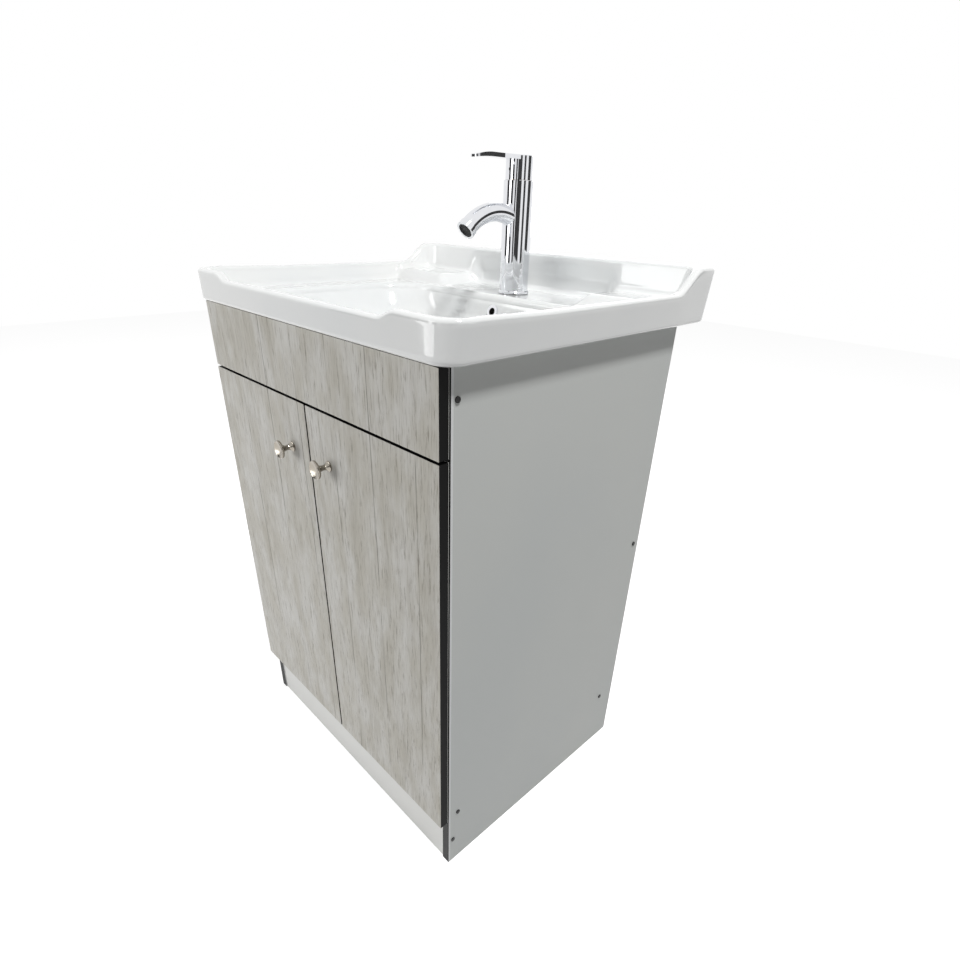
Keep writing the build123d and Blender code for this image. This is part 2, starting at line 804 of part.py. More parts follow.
def waste_lower():
    """The rubber ring and the nut that clamp the waste from below."""
    z = bowl_floor - bowl_wall
    rubber = tube(waste_flange_radius + 1.0, waste_radius + seat_gap, (0, bowl_centre, z), (0, 0, -1), 5.0)
    nut = RegularPolygon(waste_flange_radius + 3.0, 8) - Circle(waste_radius + fit)
    return rubber, Pos(0, bowl_centre, z - 14.0) * extrude(nut, 9.0)


def tailpiece():
    """The straight pipe from the waste down into the trap."""
    top = waste_low - seat_gap
    low = trap_inlet_height - 30.0
    flange = tube(waste_radius - 0.5, pipe_radius - pipe_wall, (0, bowl_centre, top), (0, 0, -1), 3.0)
    return flange + tube(pipe_radius, pipe_radius - pipe_wall, (0, bowl_centre, low), (0, 0, 1), top - low)


def trap_bend():
    """The U-shaped bend that holds the water seal."""
    path = Wire(
        [
            Line((0, bowl_centre, trap_inlet_height), (0, bowl_centre, trap_floor_height)),
            ThreePointArc(
                (0, bowl_centre, trap_floor_height),
                (0, bowl_centre + trap_bend_radius, trap_floor_height - trap_bend_radius),
                (0, trap_rear, trap_floor_height),
            ),
            Line((0, trap_rear, trap_floor_height), (0, trap_rear, trap_floor_height + 16.0)),
        ]
    )
    section = Plane(origin=(0, bowl_centre, trap_inlet_height), z_dir=(0, 0, -1))
    return sweep(section * Circle(bend_radius), path) - sweep(section * Circle(socket_radius), path)


def trap_arm():
    """The elbow and straight pipe that lead from the trap to the wall."""
    turn_top = trap_outlet_height - trap_elbow_radius
    start = (0, trap_rear, trap_floor_height + 2.0)
    path = Wire(
        [
            Line(start, (0, trap_rear, turn_top)),
            ThreePointArc(
                (0, trap_rear, turn_top),
                (
                    0,
                    trap_rear + trap_elbow_radius * (1 - cos(radians(45))),
                    turn_top + trap_elbow_radius * sin(radians(45)),
                ),
                (0, trap_rear + trap_elbow_radius, trap_outlet_height),
            ),
            Line((0, trap_rear + trap_elbow_radius, trap_outlet_height), (0, basin_rear, trap_outlet_height)),
        ]
    )
    section = Plane(origin=start, z_dir=(0, 0, 1))
    return sweep(section * Circle(pipe_radius), path) - sweep(section * Circle(pipe_radius - pipe_wall), path)


def slip_nut(y, joint, outer, thread, height):
    """A hand nut round a pipe: its skirt passes joint and its lip closes on the pipe."""
    nut = turned(
        [
            (thread + fit, -height * 0.6),
            (outer, -height * 0.6),
            (outer, height * 0.4),
            (pipe_radius + seat_gap, height * 0.4),
            (pipe_radius + seat_gap, height * 0.4 - 2.5),
            (thread + fit, height * 0.4 - 2.5),
        ]
    )
    return Pos(0, y, joint) * nut


def slip_washer(y, joint, height):
    """The rubber ring squeezed between a slip nut and the end of its socket."""
    top = joint + height * 0.4 - 2.5 - seat_gap
    return tube(bend_radius - 0.3, pipe_radius + fit, (0, y, joint + seat_gap), (0, 0, 1), top - joint - seat_gap)


def tail_nut():
    """The nut that holds the tailpiece's flange up against the waste."""
    joint = waste_low
    nut = turned(
        [
            (waste_radius + fit, 9.0),
            (waste_radius + slip_nut_wall, 9.0),
            (waste_radius + slip_nut_wall, -6.5),
            (pipe_radius + seat_gap, -6.5),
            (pipe_radius + seat_gap, -3.6),
            (waste_radius + fit, -3.6),
        ]
    )
    return Pos(0, bowl_centre, joint) * nut


os.makedirs("parts", exist_ok=True)

for side, word in ((-1, "left"), (1, "right")):
    keep(word + "_side_panel", side_panel(side))
    keep(word + "_door", door(side))
    keep(word + "_knob", knob(side))
    keep(word + "_knob_screw", knob_screw(side))
    keep(word + "_hinge_cups", group(hinge_cup(side, height) for height in hinge_heights))
    cup_fixings = [screw for height in hinge_heights for screw in cup_screws(side, height)]
    keep(word + "_cup_screws", group(cup_fixings))
    keep(word + "_hinge_arms", group(hinge_arm(side, height) for height in hinge_heights))
    keep(word + "_hinge_plates", group(hinge_plate(side, height) for height in hinge_heights))
    plate_fixings = [screw for height in hinge_heights for screw in plate_screws(side, height)]
    keep(word + "_plate_screws", group(plate_fixings))

keep("bottom_panel", bottom_panel())
keep("toe_kick", toe_kick())
keep("front_rail", front_rail())
keep("rear_rail", rear_rail())
keep("false_front", false_front())
keep("false_front_brackets", group(bracket(side) for side in (-1, 1)))
bracket_fixings = [bracket_front_screw(side) for side in (-1, 1)] + [bracket_side_screw(side) for side in (-1, 1)]
keep("bracket_screws", group(bracket_fixings))
keep("cabinet_screws", group(side_screws(-1) + side_screws(1)))
bumper_places = [side * reach for side in (-1, 1) for reach in (bumper_offset, inner_half_width - bumper_offset)]
keep("door_bumpers", group(bumper(x) for x in bumper_places))

bowl = basin()
keep("basin", bowl)
keep("overflow_ring", overflow_ring(bowl))

keep("tap_body", tap_body())
keep("tap_base_ring", base_ring())
keep("tap_gasket", tube(base_ring_radius - 1.0, tap_shank_radius + seat_gap, (0, tap_setback, deck_z), (0, 0, 1), tap_gasket_height))
keep("aerator_ring", aerator_ring())
keep("aerator_insert", aerator_insert())
keep("cartridge", cartridge())
keep("cartridge_nut", cartridge_nut())
keep("cartridge_carrier", cartridge_carrier())
keep("cartridge_stem", cartridge_stem())
keep("lever_handle", lever_handle())
keep("lever_set_screw", lever_set_screw())
rubber_washer, steel_washer, fixing_nut = tap_fixing()
keep("tap_rubber_washer", rubber_washer)
keep("tap_steel_washer", steel_washer)
keep("tap_fixing_nut", fixing_nut)

keep("waste_body", waste_body())
keep("waste_gasket", waste_gasket())
lower_ring, clamp_nut = waste_lower()
keep("waste_lower_ring", lower_ring)
keep("waste_nut", clamp_nut)
keep("drain_plug", drain_plug())
keep("tailpiece", tailpiece())
keep("trap_bend", trap_bend())
keep("trap_arm", trap_arm())
rear_joint = trap_floor_height + 16.0
nut_outer = bend_radius + slip_nut_wall
trap_nuts = [
    slip_nut(bowl_centre, trap_inlet_height, nut_outer, bend_radius, slip_nut_height),
    slip_nut(trap_rear, rear_joint, nut_outer, bend_radius, slip_nut_height),
    tail_nut(),
]
keep("trap_nuts", group(trap_nuts))
trap_washers = [
    slip_washer(bowl_centre, trap_inlet_height, slip_nut_height),
    slip_washer(trap_rear, rear_joint, slip_nut_height),
]
keep("trap_washers", group(trap_washers))
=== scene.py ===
import bmesh
import bpy
from math import cos, pi, radians, sin
from mathutils import Euler, Matrix, Vector


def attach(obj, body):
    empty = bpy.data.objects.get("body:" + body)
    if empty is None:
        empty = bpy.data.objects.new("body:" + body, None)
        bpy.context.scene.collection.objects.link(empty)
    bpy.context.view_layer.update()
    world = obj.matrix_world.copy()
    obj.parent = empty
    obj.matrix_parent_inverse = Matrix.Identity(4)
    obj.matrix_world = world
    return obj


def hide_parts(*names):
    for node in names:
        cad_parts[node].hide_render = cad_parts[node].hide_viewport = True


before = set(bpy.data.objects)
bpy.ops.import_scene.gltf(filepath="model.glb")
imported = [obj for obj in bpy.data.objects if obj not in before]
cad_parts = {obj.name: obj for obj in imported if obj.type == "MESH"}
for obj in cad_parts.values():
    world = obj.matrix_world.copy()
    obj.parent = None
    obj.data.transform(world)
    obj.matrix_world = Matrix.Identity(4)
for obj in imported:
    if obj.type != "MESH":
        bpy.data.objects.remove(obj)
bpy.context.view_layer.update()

# Camera
# It stands high, off the right front corner of the cabinet, close enough for the
# upright edges to lean inwards towards the floor.
camera_place = (0.7650, -0.6432, 1.0007)
camera_tilt = radians(61.0431)
camera_roll = radians(-1.6756)
camera_heading = radians(46.2310)
lens = bpy.data.cameras.new("camera")
lens.sensor_width = 36.0
lens.lens = 21.78
lens.shift_y = 0.0544
lens.clip_start = 0.01
camera = bpy.data.objects.new("camera", lens)
camera_turn = Euler((camera_tilt, camera_roll, camera_heading))
camera.matrix_world = Matrix.Translation(camera_place) @ camera_turn.to_matrix().to_4x4()
bpy.context.scene.collection.objects.link(camera)
bpy.context.scene.camera = camera
bpy.context.scene.view_settings.view_transform = "Standard"


# Studio
# A pale floor that keeps the shadow, a white surround, a small bright lamp high on the
# right, broad lamps at the front left and behind, and dark upright cards out of view
# for the polished metal to mirror.
class Number:
    """A number that varies over a surface: Python sums on it add Math nodes."""

    def __init__(self, nodes, socket):
        self.nodes = nodes
        self.socket = socket

    def do(self, operation, *others):
        return self.nodes.maths(operation, self, *others)

    def __add__(self, other):
        return self.do("ADD", other)

    def __sub__(self, other):
        return self.do("SUBTRACT", other)

    def __rsub__(self, other):
        return self.nodes.maths("SUBTRACT", other, self)

    def __mul__(self, other):
        return self.do("MULTIPLY", other)

    def __truediv__(self, other):
        return self.do("DIVIDE", other)

    def __lt__(self, other):
        return self.do("LESS_THAN", other)

    def __gt__(self, other):
        return self.do("GREATER_THAN", other)

    __radd__ = __add__
    __rmul__ = __mul__

    def rise(self, low, high):
        """0 below low, 1 above high, and smooth between."""
        ramp = self.nodes.node("MapRange", {"interpolation_type": "SMOOTHSTEP"}, self, low, high, 0.0, 1.0)
        return Number(self.nodes, ramp.outputs[0])


class Nodes:
    """A node tree under construction, whose nodes are made by one method."""

    def __init__(self, tree):
        self.tree = tree
        self.tree.nodes.clear()

    def feed(self, socket, value):
        """Gives a socket a fixed value, or links it to a number or to another socket."""
        if isinstance(value, Number):
            value = value.socket
        if isinstance(value, bpy.types.NodeSocket):
            self.tree.links.new(value, socket)
        else:
            socket.default_value = value

    def node(self, kind, settings=None, *values, **named):
        """A node of a kind: its settings first, then its sockets, in order and by name."""
        made = self.tree.nodes.new("ShaderNode" + kind)
        for key, value in (settings or {}).items():
            setattr(made, key, value)
        for socket, value in zip(made.inputs, values):
            self.feed(socket, value)
        for key, value in named.items():
            self.feed(made.inputs[key.replace("_", " ")], value)
        return made

    def maths(self, operation, *values):
        """The result of one sum, such as ADD or LESS_THAN."""
        return Number(self, self.node("Math", {"operation": operation}, *values).outputs[0])

    def seen(self):
        """1 for what the camera sees, straight or by a mirror or through glass, else 0."""
        paths = self.node("LightPath").outputs
        straight, mirrored, through = (paths[f"Is {ray} Ray"] for ray in ("Camera", "Glossy", "Transmission"))
        return self.maths("MAXIMUM", self.maths("MAXIMUM", straight, mirrored), through)


class Look(Nodes):
    """A material under construction."""

    def __init__(self, name):
        self.material = bpy.data.materials.new(name)
        self.material.use_nodes = True
        super().__init__(self.material.node_tree)
        self.output = self.node("OutputMaterial")

    def point(self):
        """The point on the object."""
        return self.node("TexCoord").outputs["Object"]

    def axes(self, point):
        """The three numbers of a point."""
        return [Number(self, out) for out in self.node("SeparateXYZ", None, point).outputs]

    def noise(self, point, size, stretch=(1, 1, 1), detail=4.0, rough=0.5, shift=(0, 0, 0)):
        """Soft noise whose features are about size metres across, drawn out by stretch."""
        scaled = self.node("Mapping", None, point, shift, (0, 0, 0), tuple(1 / s for s in stretch))
        found = self.node("TexNoise", None, scaled.outputs[0], Scale=1 / size, Detail=detail, Roughness=rough)
        return Number(self, found.outputs["Fac"])

    def blend(self, amount, first, second):
        """One colour passing into another."""
        mix = self.node("Mix", {"data_type": "RGBA"})
        factor, first_colour, second_colour = mix.inputs[0], mix.inputs[6], mix.inputs[7]
        self.feed(factor, amount)
        self.feed(first_colour, first)
        self.feed(second_colour, second)
        return mix.outputs[2]

    def surface(self, bump=None, depth=0.0002, strength=0.5, **sockets):
        """The finished surface: a Principled shader, with an optional bump."""
        shader = self.node("BsdfPrincipled", None, **sockets)
        if bump is not None:
            raised = self.node("Bump", None, Strength=strength, Distance=depth, Height=bump)
            self.feed(shader.inputs["Normal"], raised.outputs[0])
        self.feed(self.output.inputs[0], shader.outputs[0])
        return self.material


def piece(name, verts, faces, smooth=True):
    """A mesh object made from points in metres, at the origin."""
    mesh = bpy.data.meshes.new(name)
    mesh.from_pydata(verts, [], faces)
    mesh.update()
    if smooth:
        mesh.shade_smooth()
    made = bpy.data.objects.new(name, mesh)
    bpy.context.scene.collection.objects.link(made)
    return made


white = (1.0, 1.0, 1.0, 1.0)
floor_reach = 6
floor_corners = [(-floor_reach, -floor_reach, 0), (floor_reach, -floor_reach, 0)]
floor_corners += [(floor_reach, floor_reach, 0), (-floor_reach, floor_reach, 0)]
floor = piece("floor", floor_corners, [(0, 1, 2, 3)], smooth=False)
look = Look("floor_paint")
matt = look.node("BsdfDiffuse", None, (0.55, 0.55, 0.55, 1.0))
glow = look.node("Emission", None, white, 0.82)
lit = look.node("AddShader", None, matt.outputs[0], glow.outputs[0])
chosen = look.node("MixShader", None, look.seen(), matt.outputs[0], lit.outputs[0])
look.feed(look.output.inputs[0], chosen.outputs[0])
floor.data.materials.append(look.material)

surround = bpy.data.worlds.new("surround")
surround.use_nodes = True
bpy.context.scene.world = surround
sky = Nodes(surround.node_tree)
sky_light = 0.22
background = sky.node("Background", None, white, sky.seen() * (1 - sky_light) + sky_light)
sky.node("OutputWorld", None, background.outputs[0])


def lamp(name, place, target, size, power):
    """A square soft lamp that faces target."""
    data = bpy.data.lights.new(name, "AREA")
    data.shape = "RECTANGLE"
    data.size = size
    data.size_y = size
    data.energy = power
    made = bpy.data.objects.new(name, data)
    made.location = place
    made.rotation_euler = (Vector(target) - Vector(place)).to_track_quat("-Z", "Y").to_euler()
    bpy.context.scene.collection.objects.link(made)


lamp("overhead_lamp", (1.5, -0.25, 3.7), (0.0, 0.0, 0.8), 0.38, 86)
lamp("front_lamp", (-1.5, -2.9, 1.15), (0.0, 0.0, 0.5), 2.2, 46)
lamp("rear_lamp", (-1.4, 3.0, 1.8), (0.0, 0.0, 0.6), 2.0, 30)

dark = Look("card_paint").surface(Base_Color=(0.03, 0.03, 0.03, 1.0), Roughness=0.8)
card_foot = 0.7
card_places_widths_and_tops = (
    (-1.7, -1.9, 1.0, 1.55),
    (-0.3, -2.5, 0.8, 1.55),
    (0.95, -2.3, 0.5, 1.55),
    (1.9, -1.6, 1.5, 1.75),
    (2.6, 0.1, 0.7, 1.55),
    (1.7, 1.7, 1.2, 1.55),
)
for number, (x, y, width, top) in enumerate(card_places_widths_and_tops):
    foot = Vector((x, y, card_foot))
    across = Vector((-y, x, 0)).normalized() * width / 2
    up = Vector((0, 0, top - card_foot))
    corners = [foot - across, foot + across, foot + across + up, foot - across + up]
    card = piece(f"card_{number}", corners, [(0, 1, 2, 3)], smooth=False)
    card.data.materials.append(dark)
    card.visible_camera = False
    card.visible_diffuse = False
    card.visible_shadow = False

# Side panels
# Upright 15 mm chipboard faced with pale grey melamine, with a black plastic band on
# the front edge and a painted highlight beside it. The other boards are screwed between them.
door_face = -0.2505
board = 0.015
panel_front = door_face + board + 0.0015
band = 0.0004
# Width of the painted highlight, a paler strip just behind the front edge band.
edge_highlight_width = 0.004


def colour(red, green, blue):
    """A colour given as it looks on a screen, from 0 to 255."""
    def linear(value):
        value = value / 255
        return value / 12.92 if value <= 0.04045 else ((value + 0.055) / 1.055) ** 2.4

    return (linear(red), linear(green), linear(blue), 1.0)


def dress(material, *names):
    """Gives CAD pieces their finish."""
    for name in names:
        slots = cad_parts[name].data.materials
        slots.clear()
        slots.append(material)


band_black = colour(3, 3, 3)
look = Look("side_melamine")
point = look.point()
y = look.axes(point)[1]
speck = look.noise(point, 0.0012, (1, 1, 1), 2.0, 0.6)
cloud = look.noise(point, 0.35, (1, 1, 1.4), 2.0)
grey = look.blend(cloud.rise(0.3, 0.7) * 0.5, colour(204, 206, 203), colour(196, 200, 200))
mottled = look.blend(speck.rise(0.45, 0.7) * 0.12, grey, colour(180, 182, 182))
# The paler strip just behind the black band is a painted highlight along the front edge.
edge_highlighted = look.blend((y < panel_front + edge_highlight_width) * 0.75, mottled, colour(232, 233, 234))
grey_board = look.surface(
    bump=speck,
    depth=0.0001,
    strength=0.12,
    Base_Color=look.blend(y < panel_front + band, edge_highlighted, band_black),
    Specular_IOR_Level=0.25,
    Roughness=look.noise(point, 0.02, (1, 1, 1), 3.0) * 0.08 + 0.46,
)
dress(grey_board, "left_side_panel", "right_side_panel")

# Toe kick, bottom panel and rails
# White melamine board, cut to fit between the side panels. The front rail stands behind
# the false front, and the rear rail takes the screws that fix the cabinet to the wall.
look = Look("board_melamine")
point = look.point()
speck = look.noise(point, 0.0012, (1, 1, 1), 2.0, 0.6)
white_board = look.surface(
    bump=speck,
    depth=0.0001,
    strength=0.12,
    Base_Color=look.blend(speck.rise(0.45, 0.7) * 0.15, colour(232, 232, 229), colour(214, 214, 211)),
    Roughness=look.noise(point, 0.02, (1, 1, 1), 3.0) * 0.08 + 0.38,
)
dress(white_board, "toe_kick", "bottom_panel", "front_rail", "rear_rail")

# Cabinet screws
# Chipboard screws of blackened steel, driven through the side panels into the ends of
# the boards between them. Their heads stay in view.
look = Look("dark_phosphate")
worn = look.noise(look.point(), 0.001, (1, 1, 1), 3.0)
black_steel = look.surface(
    Base_Color=look.blend(worn, colour(52, 52, 52), colour(30, 30, 30)),
    Metallic=0.8,
    Roughness=worn * 0.2 + 0.35,
)
dress(black_steel, "cabinet_screws")

# Doors and false front
# 15 mm chipboard with a printed wood-grain laminate on its outer face, white
# melamine on its inner face and a black plastic band round its edges.
laminate_skin = 0.0004
melamine_skin = 0.0005
plank_width = 0.0925
plank_start = 0.021
look = Look("wood_laminate")
point = look.point()
x, y = look.axes(point)[:2]
wander = look.noise(point, 0.4, (1, 1, 1), 2.0) - 0.5
bleach = look.noise(point, 0.05, (1, 1, 2.5), 4.0, 0.62)
cloud = look.noise(point, 0.016, (1, 1, 9), 4.0, 0.6, (0.3, 0, 0.1))
streak = look.noise(point, 0.0034, (1, 1, 11), 6.0, 0.72, (0.9, 0, 0.6))
fibre = look.noise(point, 0.0011, (1, 1, 24), 4.0, 0.65, (0.7, 0, 0.4))
plank = (x + wander * 0.008 + plank_start) / plank_width
joint = (plank.do("FRACT") - 0.5).do("ABSOLUTE").rise(0.484, 0.499)
seam = joint * look.noise(point, 0.02, (1, 1, 5), 2.0, 0.5, (0.5, 0, 0.2)).rise(0.42, 0.6)
plank_tone = (plank.do("FLOOR") * 12.9898).do("SINE") * 0.5 + 0.5
ground = look.blend(bleach.rise(0.34, 0.68), colour(200, 197, 188), colour(217, 216, 212))
clouded = look.blend(cloud.rise(0.46, 0.7) * 0.34, ground, colour(168, 163, 150))
toned = look.blend(plank_tone * 0.10, clouded, colour(170, 164, 150))
streaked = look.blend(streak.rise(0.54, 0.68) * 0.62, toned, colour(118, 110, 96))
fine = look.blend(fibre.rise(0.50, 0.70) * 0.42, streaked, colour(126, 119, 106))
printed = look.blend(seam * 0.7, fine, colour(84, 76, 62))
outer = y < door_face + laminate_skin
inner = y > door_face + board - melamine_skin
banded = look.blend(outer, band_black, printed)
laminate = look.surface(
    bump=(fibre * 0.5 - streak * 0.6 - seam) * outer,
    depth=0.0003,
    strength=0.25,
    Base_Color=look.blend(inner, banded, colour(228, 228, 225)),
    Roughness=outer * -0.14 + 0.56 + streak * 0.1,
    Specular_IOR_Level=0.12,
)
dress(laminate, "left_door", "right_door", "false_front")

# Hinges and angles
# Concealed hinges of pressed steel: a cup let into the door, and an arm and a plate on
# the side panel. Two angles hold the false front to the sides. All are zinc plated.
look = Look("zinc_plate")
worn = look.noise(look.point(), 0.004, (1, 1, 1), 4.0, 0.6)
zinc = look.surface(
    bump=worn,
    depth=0.00005,
    strength=0.1,
    Base_Color=look.blend(worn.rise(0.3, 0.7), colour(205, 206, 208), colour(176, 178, 182)),
    Metallic=1.0,
    Roughness=worn * 0.15 + 0.2,
)
for hand in ("left", "right"):
    dress(zinc, *(f"{hand}_{part}" for part in ("hinge_cups", "hinge_arms", "hinge_plates")))
    dress(zinc, f"{hand}_cup_screws", f"{hand}_plate_screws")
dress(zinc, "false_front_brackets", "bracket_screws")

# Door bumpers
# Small soft moulded buttons on the front edge of the bottom panel. Each stops a door as
# it closes.
look = Look("white_moulding")
grain = look.noise(look.point(), 0.0015, (1, 1, 1), 3.0)
moulding = look.surface(
    bump=grain,
    depth=0.00005,
    strength=0.1,
    Base_Color=look.blend(grain, colour(240, 240, 238), colour(230, 230, 228)),
    Roughness=grain * 0.1 + 0.35,
)
dress(moulding, "door_bumpers")

# Knobs
# Cast zinc with a flared foot, a thin neck and a dished face, satin nickel plated. A
# plated screw through the door holds each.
look = Look("satin_nickel")
brushed = look.noise(look.point(), 0.0009, (1, 1, 1), 3.0)
nickel = look.surface(
    bump=brushed,
    depth=0.00005,
    strength=0.15,
    Base_Color=look.blend(brushed * 0.4, colour(168, 162, 152), colour(128, 121, 110)),
    Metallic=1.0,
    Roughness=brushed * 0.1 + 0.13,
)
dress(nickel, "left_knob", "right_knob")
dress(zinc, "left_knob_screw", "right_knob_screw")

# Basin
# One casting of vitreous china: a flared skirt, a rim that drops between raised
# corners and sweeps up to the backsplash, two soap shelves beside the tap, and a deep
# bowl. It rests on the cabinet's top edges, and a white glaze rounds every corner.
cabinet_top = 0.860
skirt_half = 0.318
skirt_front = door_face - 0.006
skirt_rear = door_face + 0.525
flare = 0.005
front_corner = 0.030
rear_corner = 0.012
foot_round = 0.006
outer_round = 0.0055
inner_round = 0.006
rim_width = 0.0145
splash_width = 0.033
rim_low = 0.038
rim_high = 0.0485
rim_fall = 0.0022
splash_top = 0.0795
wall_slope = 0.0055
foot_blend = 0.010
deck_low = 0.0155
shelf_top = 0.0345
cove_depth = 0.011
bowl_round = 0.011
casting = 0.009
bowl_levels = (
    (deck_low - bowl_round, 0.251, 0.0445, 0.382, 0.083),
    (0.0, 0.248, 0.046, 0.381, 0.085),
    (-0.040, 0.222, 0.064, 0.368, 0.090),
    (-0.086, 0.168, 0.108, 0.328, 0.084),
    (-0.1065, 0.092, 0.161, 0.265, 0.046),
    (-0.108, 0.034, 0.179, 0.247, 0.0335),
)
drain_y = door_face + 0.213
drain_radius = 0.0225
front_steps = 132
side_steps = 96
corner_steps = 14


def ease(value, low, high):
    """0 below low, 1 above high, and smooth between."""
    part = min(max((value - low) / (high - low), 0.0), 1.0)
    return part * part * (3 - 2 * part)


def crest(p):
    """The height of the rim above the cabinet."""
    depth = p.y - door_face
    low = rim_low + (rim_high - rim_low) * ease(abs(p.x), 0.196, 0.233) - rim_fall * ease(depth, 0.03, 0.16)
    return low + (splash_top - low) * ease(depth, 0.426, 0.486)


def deck(p):
    """The height of the tray above the cabinet, with a raised shelf in each rear corner."""
    shelf = ease(abs(p.x), 0.150, 0.182) * ease(p.y - door_face, 0.392, 0.412)
    return deck_low + (shelf_top - deck_low) * shelf


def hollowed(p, source, amount=1.0):
    """A point moved back where the middle of the backsplash is hollowed out behind the tap."""
    middle = 1 - ease(abs(source.x), 0.148, 0.176)
    return Vector((p.x, p.y + cove_depth * middle * ease(source.y - door_face, 0.44, 0.48) * amount))


def plan(half, front, rear, front_radius, rear_radius):
    """Points round a rectangle with rounded corners, from the left front corner's end."""
    corners = (
        (half - front_radius, front + front_radius, front_radius, front_steps),
        (half - rear_radius, rear - rear_radius, rear_radius, side_steps),
        (-half + rear_radius, rear - rear_radius, rear_radius, front_steps),
        (-half + front_radius, front + front_radius, front_radius, side_steps),
    )
    points = []
    start = Vector((-half + front_radius, front))
    for quarter, (middle_x, middle_y, radius, steps) in enumerate(corners):
        angle = (quarter - 1) * pi / 2
        arc = [angle + pi / 2 * i / corner_steps for i in range(corner_steps + 1)]
        bend = [Vector((middle_x + radius * cos(a), middle_y + radius * sin(a))) for a in arc]
        points += [start.lerp(bend[0], i / steps) for i in range(steps)] + bend[:-1]
        start = bend[-1]
    return points


def outline(inset, spread, deeper_rear=0.0):
    """The basin's outline, widened by spread and drawn in by inset, and by more at the rear."""
    return plan(
        skirt_half + spread - inset,
        skirt_front + inset,
        skirt_rear - inset - deeper_rear,
        max(front_corner + spread - inset, rear_corner),
        rear_corner + deeper_rear / 2,
    )


def bowl(level, wall=0.0):
    """The bowl's outline at a level, and outside its wall where one is given."""
    half, front, rear, radius = level[1:]
    front_y, rear_y = door_face + front - wall, door_face + rear + wall
    return plan(half + wall, front_y, rear_y, radius + wall, radius + wall)


def bowl_level(part):
    """The bowl's height, half width, front, rear and corner radius, part of the way down."""
    place = part * (len(bowl_levels) - 1)
    i = min(int(place), len(bowl_levels) - 2)
    t = place - i
    near = [bowl_levels[min(max(j, 0), len(bowl_levels) - 1)] for j in range(i - 1, i + 3)]
    return [
        b + (c - a) * t / 2 + (2 * a - 5 * b + 4 * c - d) * t * t / 2 + (3 * b - a - 3 * c + d) * t ** 3 / 2
        for a, b, c, d in zip(*near)
    ]


def round_over(steps, first=1):
    """The sine and cosine at each step of a quarter turn."""
    return [(sin(pi / 2 * i / steps), cos(pi / 2 * i / steps)) for i in range(first, steps + 1)]


def shares(steps):
    """Even shares of a length, up to the whole."""
    return [i / steps for i in range(1, steps + 1)]


def loop(points, height):
    """A loop of the skin over points in plan, at a height or by a rule."""
    return [(p.x, p.y, height(p) if callable(height) else height) for p in points]


def lofted(name, loops):
    """A closed skin through loops of points, the last of them joined to the first."""
    count = len(loops[0])
    faces = []
    for row in range(len(loops)):
        following = (row + 1) % len(loops)
        for i in range(count):
            j = (i + 1) % count
            faces.append((row * count + i, row * count + j, following * count + j, following * count + i))
    return piece(name, [point for points in loops for point in points], faces)


loops = []
for sine, cosine in round_over(6, 0):
    loops.append(loop(outline(foot_round * (1 - sine), 0.0), foot_round * (1 - cosine)))
for part in shares(8):
    points = outline(0.0, flare * part)
    loops.append(loop(points, lambda p: foot_round + (crest(p) - outer_round - foot_round) * part))
for sine, cosine in round_over(6):
    points = outline(outer_round * (1 - cosine), flare)
    loops.append(loop(points, lambda p: crest(p) - outer_round * (1 - sine)))
rear_extra = splash_width - rim_width
rim_outer = outline(outer_round, flare)
rim_inner = outline(rim_width - inner_round, flare, rear_extra)
for part in shares(5):
    loops.append(loop([a.lerp(b, part) for a, b in zip(rim_outer, rim_inner)], crest))
for sine, cosine in round_over(6):
    points = outline(rim_width - inner_round * (1 - sine), flare, rear_extra)
    loops.append(loop(points, lambda p: crest(p) - inner_round * (1 - cosine)))

wall_top = outline(rim_width, flare, rear_extra)
wall_foot = outline(rim_width + wall_slope, flare, rear_extra)
deck_edge = outline(rim_width + wall_slope + foot_blend, flare, rear_extra)
bowl_edge = plan(0.262, door_face + 0.036, door_face + 0.388, 0.080, 0.080)
bowl_start = bowl(bowl_levels[0])
for part in shares(8):
    row = []
    for top, foot in zip(wall_top, wall_foot):
        flat = top.lerp(foot, part)
        p = hollowed(flat, flat, ease(part, 0.0, 0.75))
        high = crest(top) - inner_round
        row.append((p.x, p.y, high + (deck(flat) + foot_blend - high) * part))
    loops.append(row)
for sine, cosine in round_over(5):
    points = [hollowed(foot.lerp(edge, 1 - cosine), foot) for foot, edge in zip(wall_foot, deck_edge)]
    loops.append(loop(points, lambda p: deck(p) + foot_blend * (1 - sine)))
for part in shares(26):
    fade = (1 - part) ** 2
    points = [hollowed(edge.lerp(lip, part), edge, fade) for edge, lip in zip(deck_edge, bowl_edge)]
    loops.append(loop(points, deck))
for sine, cosine in round_over(6):
    row = []
    for lip, side in zip(bowl_edge, bowl_start):
        p = lip.lerp(side, sine)
        row.append((p.x, p.y, bowl_levels[0][0] + (deck(lip) - bowl_levels[0][0]) * cosine))
    loops.append(row)
for part in shares(36):
    level = bowl_level(part)
    loops.append(loop(bowl(level), level[0]))

bowl_end = loops[-1]
bowl_floor = bowl_levels[-1][0]
dip = 0.0001
for radius, drop in ((0.030, dip), (drain_radius, dip), (drain_radius, casting), (0.032, casting)):
    row = []
    for x, y, z in bowl_end:
        away = Vector((x, y - drain_y)).normalized() * radius
        row.append((away.x, drain_y + away.y, bowl_floor - drop))
    loops.append(row)
for part in reversed([0.0] + shares(18)):
    level = bowl_level(part)
    underside = level[0] - casting * ease(-level[0], 0.02, 0.10)
    loops.append(loop(bowl(level, casting), min(underside, 0.0)))

basin = lofted("basin_glazed", loops)
shape = bmesh.new()
shape.from_mesh(basin.data)
bmesh.ops.translate(shape, verts=shape.verts, vec=(0, 0, cabinet_top))
bmesh.ops.remove_doubles(shape, verts=shape.verts, dist=0.00001)
bmesh.ops.recalc_face_normals(shape, faces=shape.faces)
shape.to_mesh(basin.data)
shape.free()

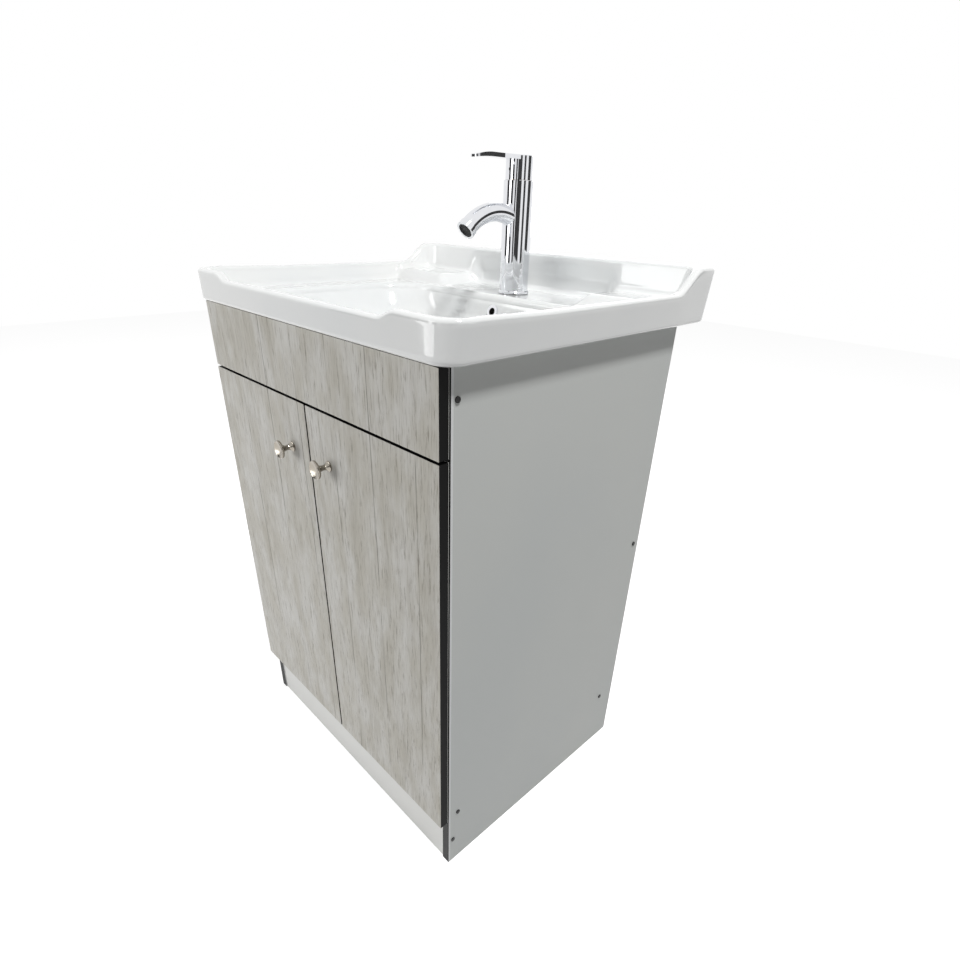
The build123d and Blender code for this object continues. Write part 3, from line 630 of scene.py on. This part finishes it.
overflow_radius = 0.009
overflow_lean = 0.314
overflow_middle = Vector((0, door_face + 0.3771, cabinet_top - 0.012))
overflow_axis = Matrix.Translation(overflow_middle) @ Matrix.Rotation(pi / 2 - overflow_lean, 4, "X")
drill = bmesh.new()
drill_ends = {"radius1": overflow_radius, "radius2": overflow_radius}
bmesh.ops.create_cone(drill, cap_ends=True, segments=48, depth=0.06, **drill_ends)
drill.transform(overflow_axis)
drill_mesh = bpy.data.meshes.new("overflow_bore")
drill.to_mesh(drill_mesh)
drill.free()
cutter = bpy.data.objects.new("overflow_bore", drill_mesh)
bpy.context.scene.collection.objects.link(cutter)
cut = basin.modifiers.new("overflow", "BOOLEAN")
cut.object = cutter
cut.solver = "EXACT"
bored = bpy.data.meshes.new_from_object(basin.evaluated_get(bpy.context.evaluated_depsgraph_get()))
basin.modifiers.clear()
basin.data = bored
bpy.data.objects.remove(cutter)
basin.data.shade_smooth()

look = Look("white_glaze")
point = look.point()
ripple = look.noise(point, 0.045, (1, 1, 1), 1.5, 0.4)
tint = look.noise(point, 0.2, (1, 1, 1), 2.0)
glaze = look.surface(
    bump=ripple,
    depth=0.0012,
    strength=0.18,
    Base_Color=look.blend(tint.rise(0.3, 0.7), colour(236, 237, 236), colour(231, 233, 233)),
    Roughness=look.noise(point, 0.01, (1, 1, 1), 2.0) * 0.03 + 0.06,
    Coat_Weight=0.6,
)
basin.data.materials.append(glaze)
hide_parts("basin")
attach(basin, "cabinet")

# Overflow channel
# The passage cast into the basin behind the chromed ring. It is unglazed, and its walls
# carry painted shade, near black, so it reads as a deep black hole.
bore_radius = overflow_radius - 0.0002
shell_radius = overflow_radius + 0.0004
tip_radius = 0.0001
mouth = -0.001
channel_floor = -0.015
channel_back = -0.0165
around = [2 * pi * share for share in [0.0] + shares(40)[:-1]]
profile = (
    (bore_radius, mouth),
    (bore_radius, channel_floor),
    (tip_radius, channel_floor),
    (tip_radius, channel_back),
    (shell_radius, channel_back),
    (shell_radius, mouth),
)
channel = lofted("overflow_channel", [[(r * cos(a), r * sin(a), z) for a in around] for r, z in profile])
channel.data.transform(overflow_axis)
# The near black colour is painted shade standing in for the dark inside the passage.
look = Look("channel_shade_paint")
grit = look.noise(look.point(), 0.001, (1, 1, 1), 3.0)
channel_painted_shade = look.surface(
    bump=grit,
    depth=0.0001,
    Base_Color=look.blend(grit, colour(58, 57, 56), colour(38, 37, 36)),
    Roughness=grit * 0.1 + 0.8,
)
channel.data.materials.append(channel_painted_shade)
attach(channel, "cabinet")

# Tap and overflow ring
# Brass, polished and chrome plated: the body with its curved spout, the base ring, the
# lever, the aerator's ring and the ring pressed into the overflow hole.
look = Look("mirror_chrome")
haze = look.noise(look.point(), 0.012, (1, 1, 1), 3.0)
chrome = look.surface(
    Base_Color=look.blend(haze.rise(0.3, 0.7) * 0.5, colour(232, 233, 236), colour(222, 224, 228)),
    Metallic=1.0,
    Roughness=haze * 0.03 + 0.025,
)
dress(chrome, "tap_body", "tap_base_ring", "lever_handle", "aerator_ring", "overflow_ring")
dress(zinc, "lever_set_screw")

# Tap's inner parts and fixing
# A plastic cartridge under a brass nut, with a carrier that turns and a brass stem that
# tilts. Below the basin a rubber washer, a steel one and a brass nut hold the body down.
look = Look("turned_brass")
grain = look.noise(look.point(), 0.001, (1, 1, 0.2), 3.0)
brass = look.surface(
    Base_Color=look.blend(grain, colour(214, 180, 110), colour(190, 152, 84)),
    Metallic=1.0,
    Roughness=grain * 0.1 + 0.2,
)
look = Look("black_rubber")
grain = look.noise(look.point(), 0.0008, (1, 1, 1), 3.0)
rubber = look.surface(
    bump=grain,
    depth=0.00005,
    strength=0.2,
    Base_Color=look.blend(grain, colour(34, 34, 34), colour(22, 22, 22)),
    Roughness=grain * 0.1 + 0.6,
)
dress(moulding, "cartridge", "cartridge_carrier")
dress(brass, "cartridge_nut", "cartridge_stem", "tap_fixing_nut")
dress(rubber, "aerator_insert", "tap_gasket", "tap_rubber_washer")
dress(zinc, "tap_steel_washer")

# Waste and trap
# A chromed waste with a push plug, sealed by rubber rings and held by a plastic nut.
# The white plastic tailpiece, bend and arm slip together with nuts and washers.
dress(chrome, "waste_body", "drain_plug")
dress(rubber, "waste_gasket", "waste_lower_ring", "trap_washers")
dress(moulding, "waste_nut", "tailpiece", "trap_bend", "trap_arm", "trap_nuts")
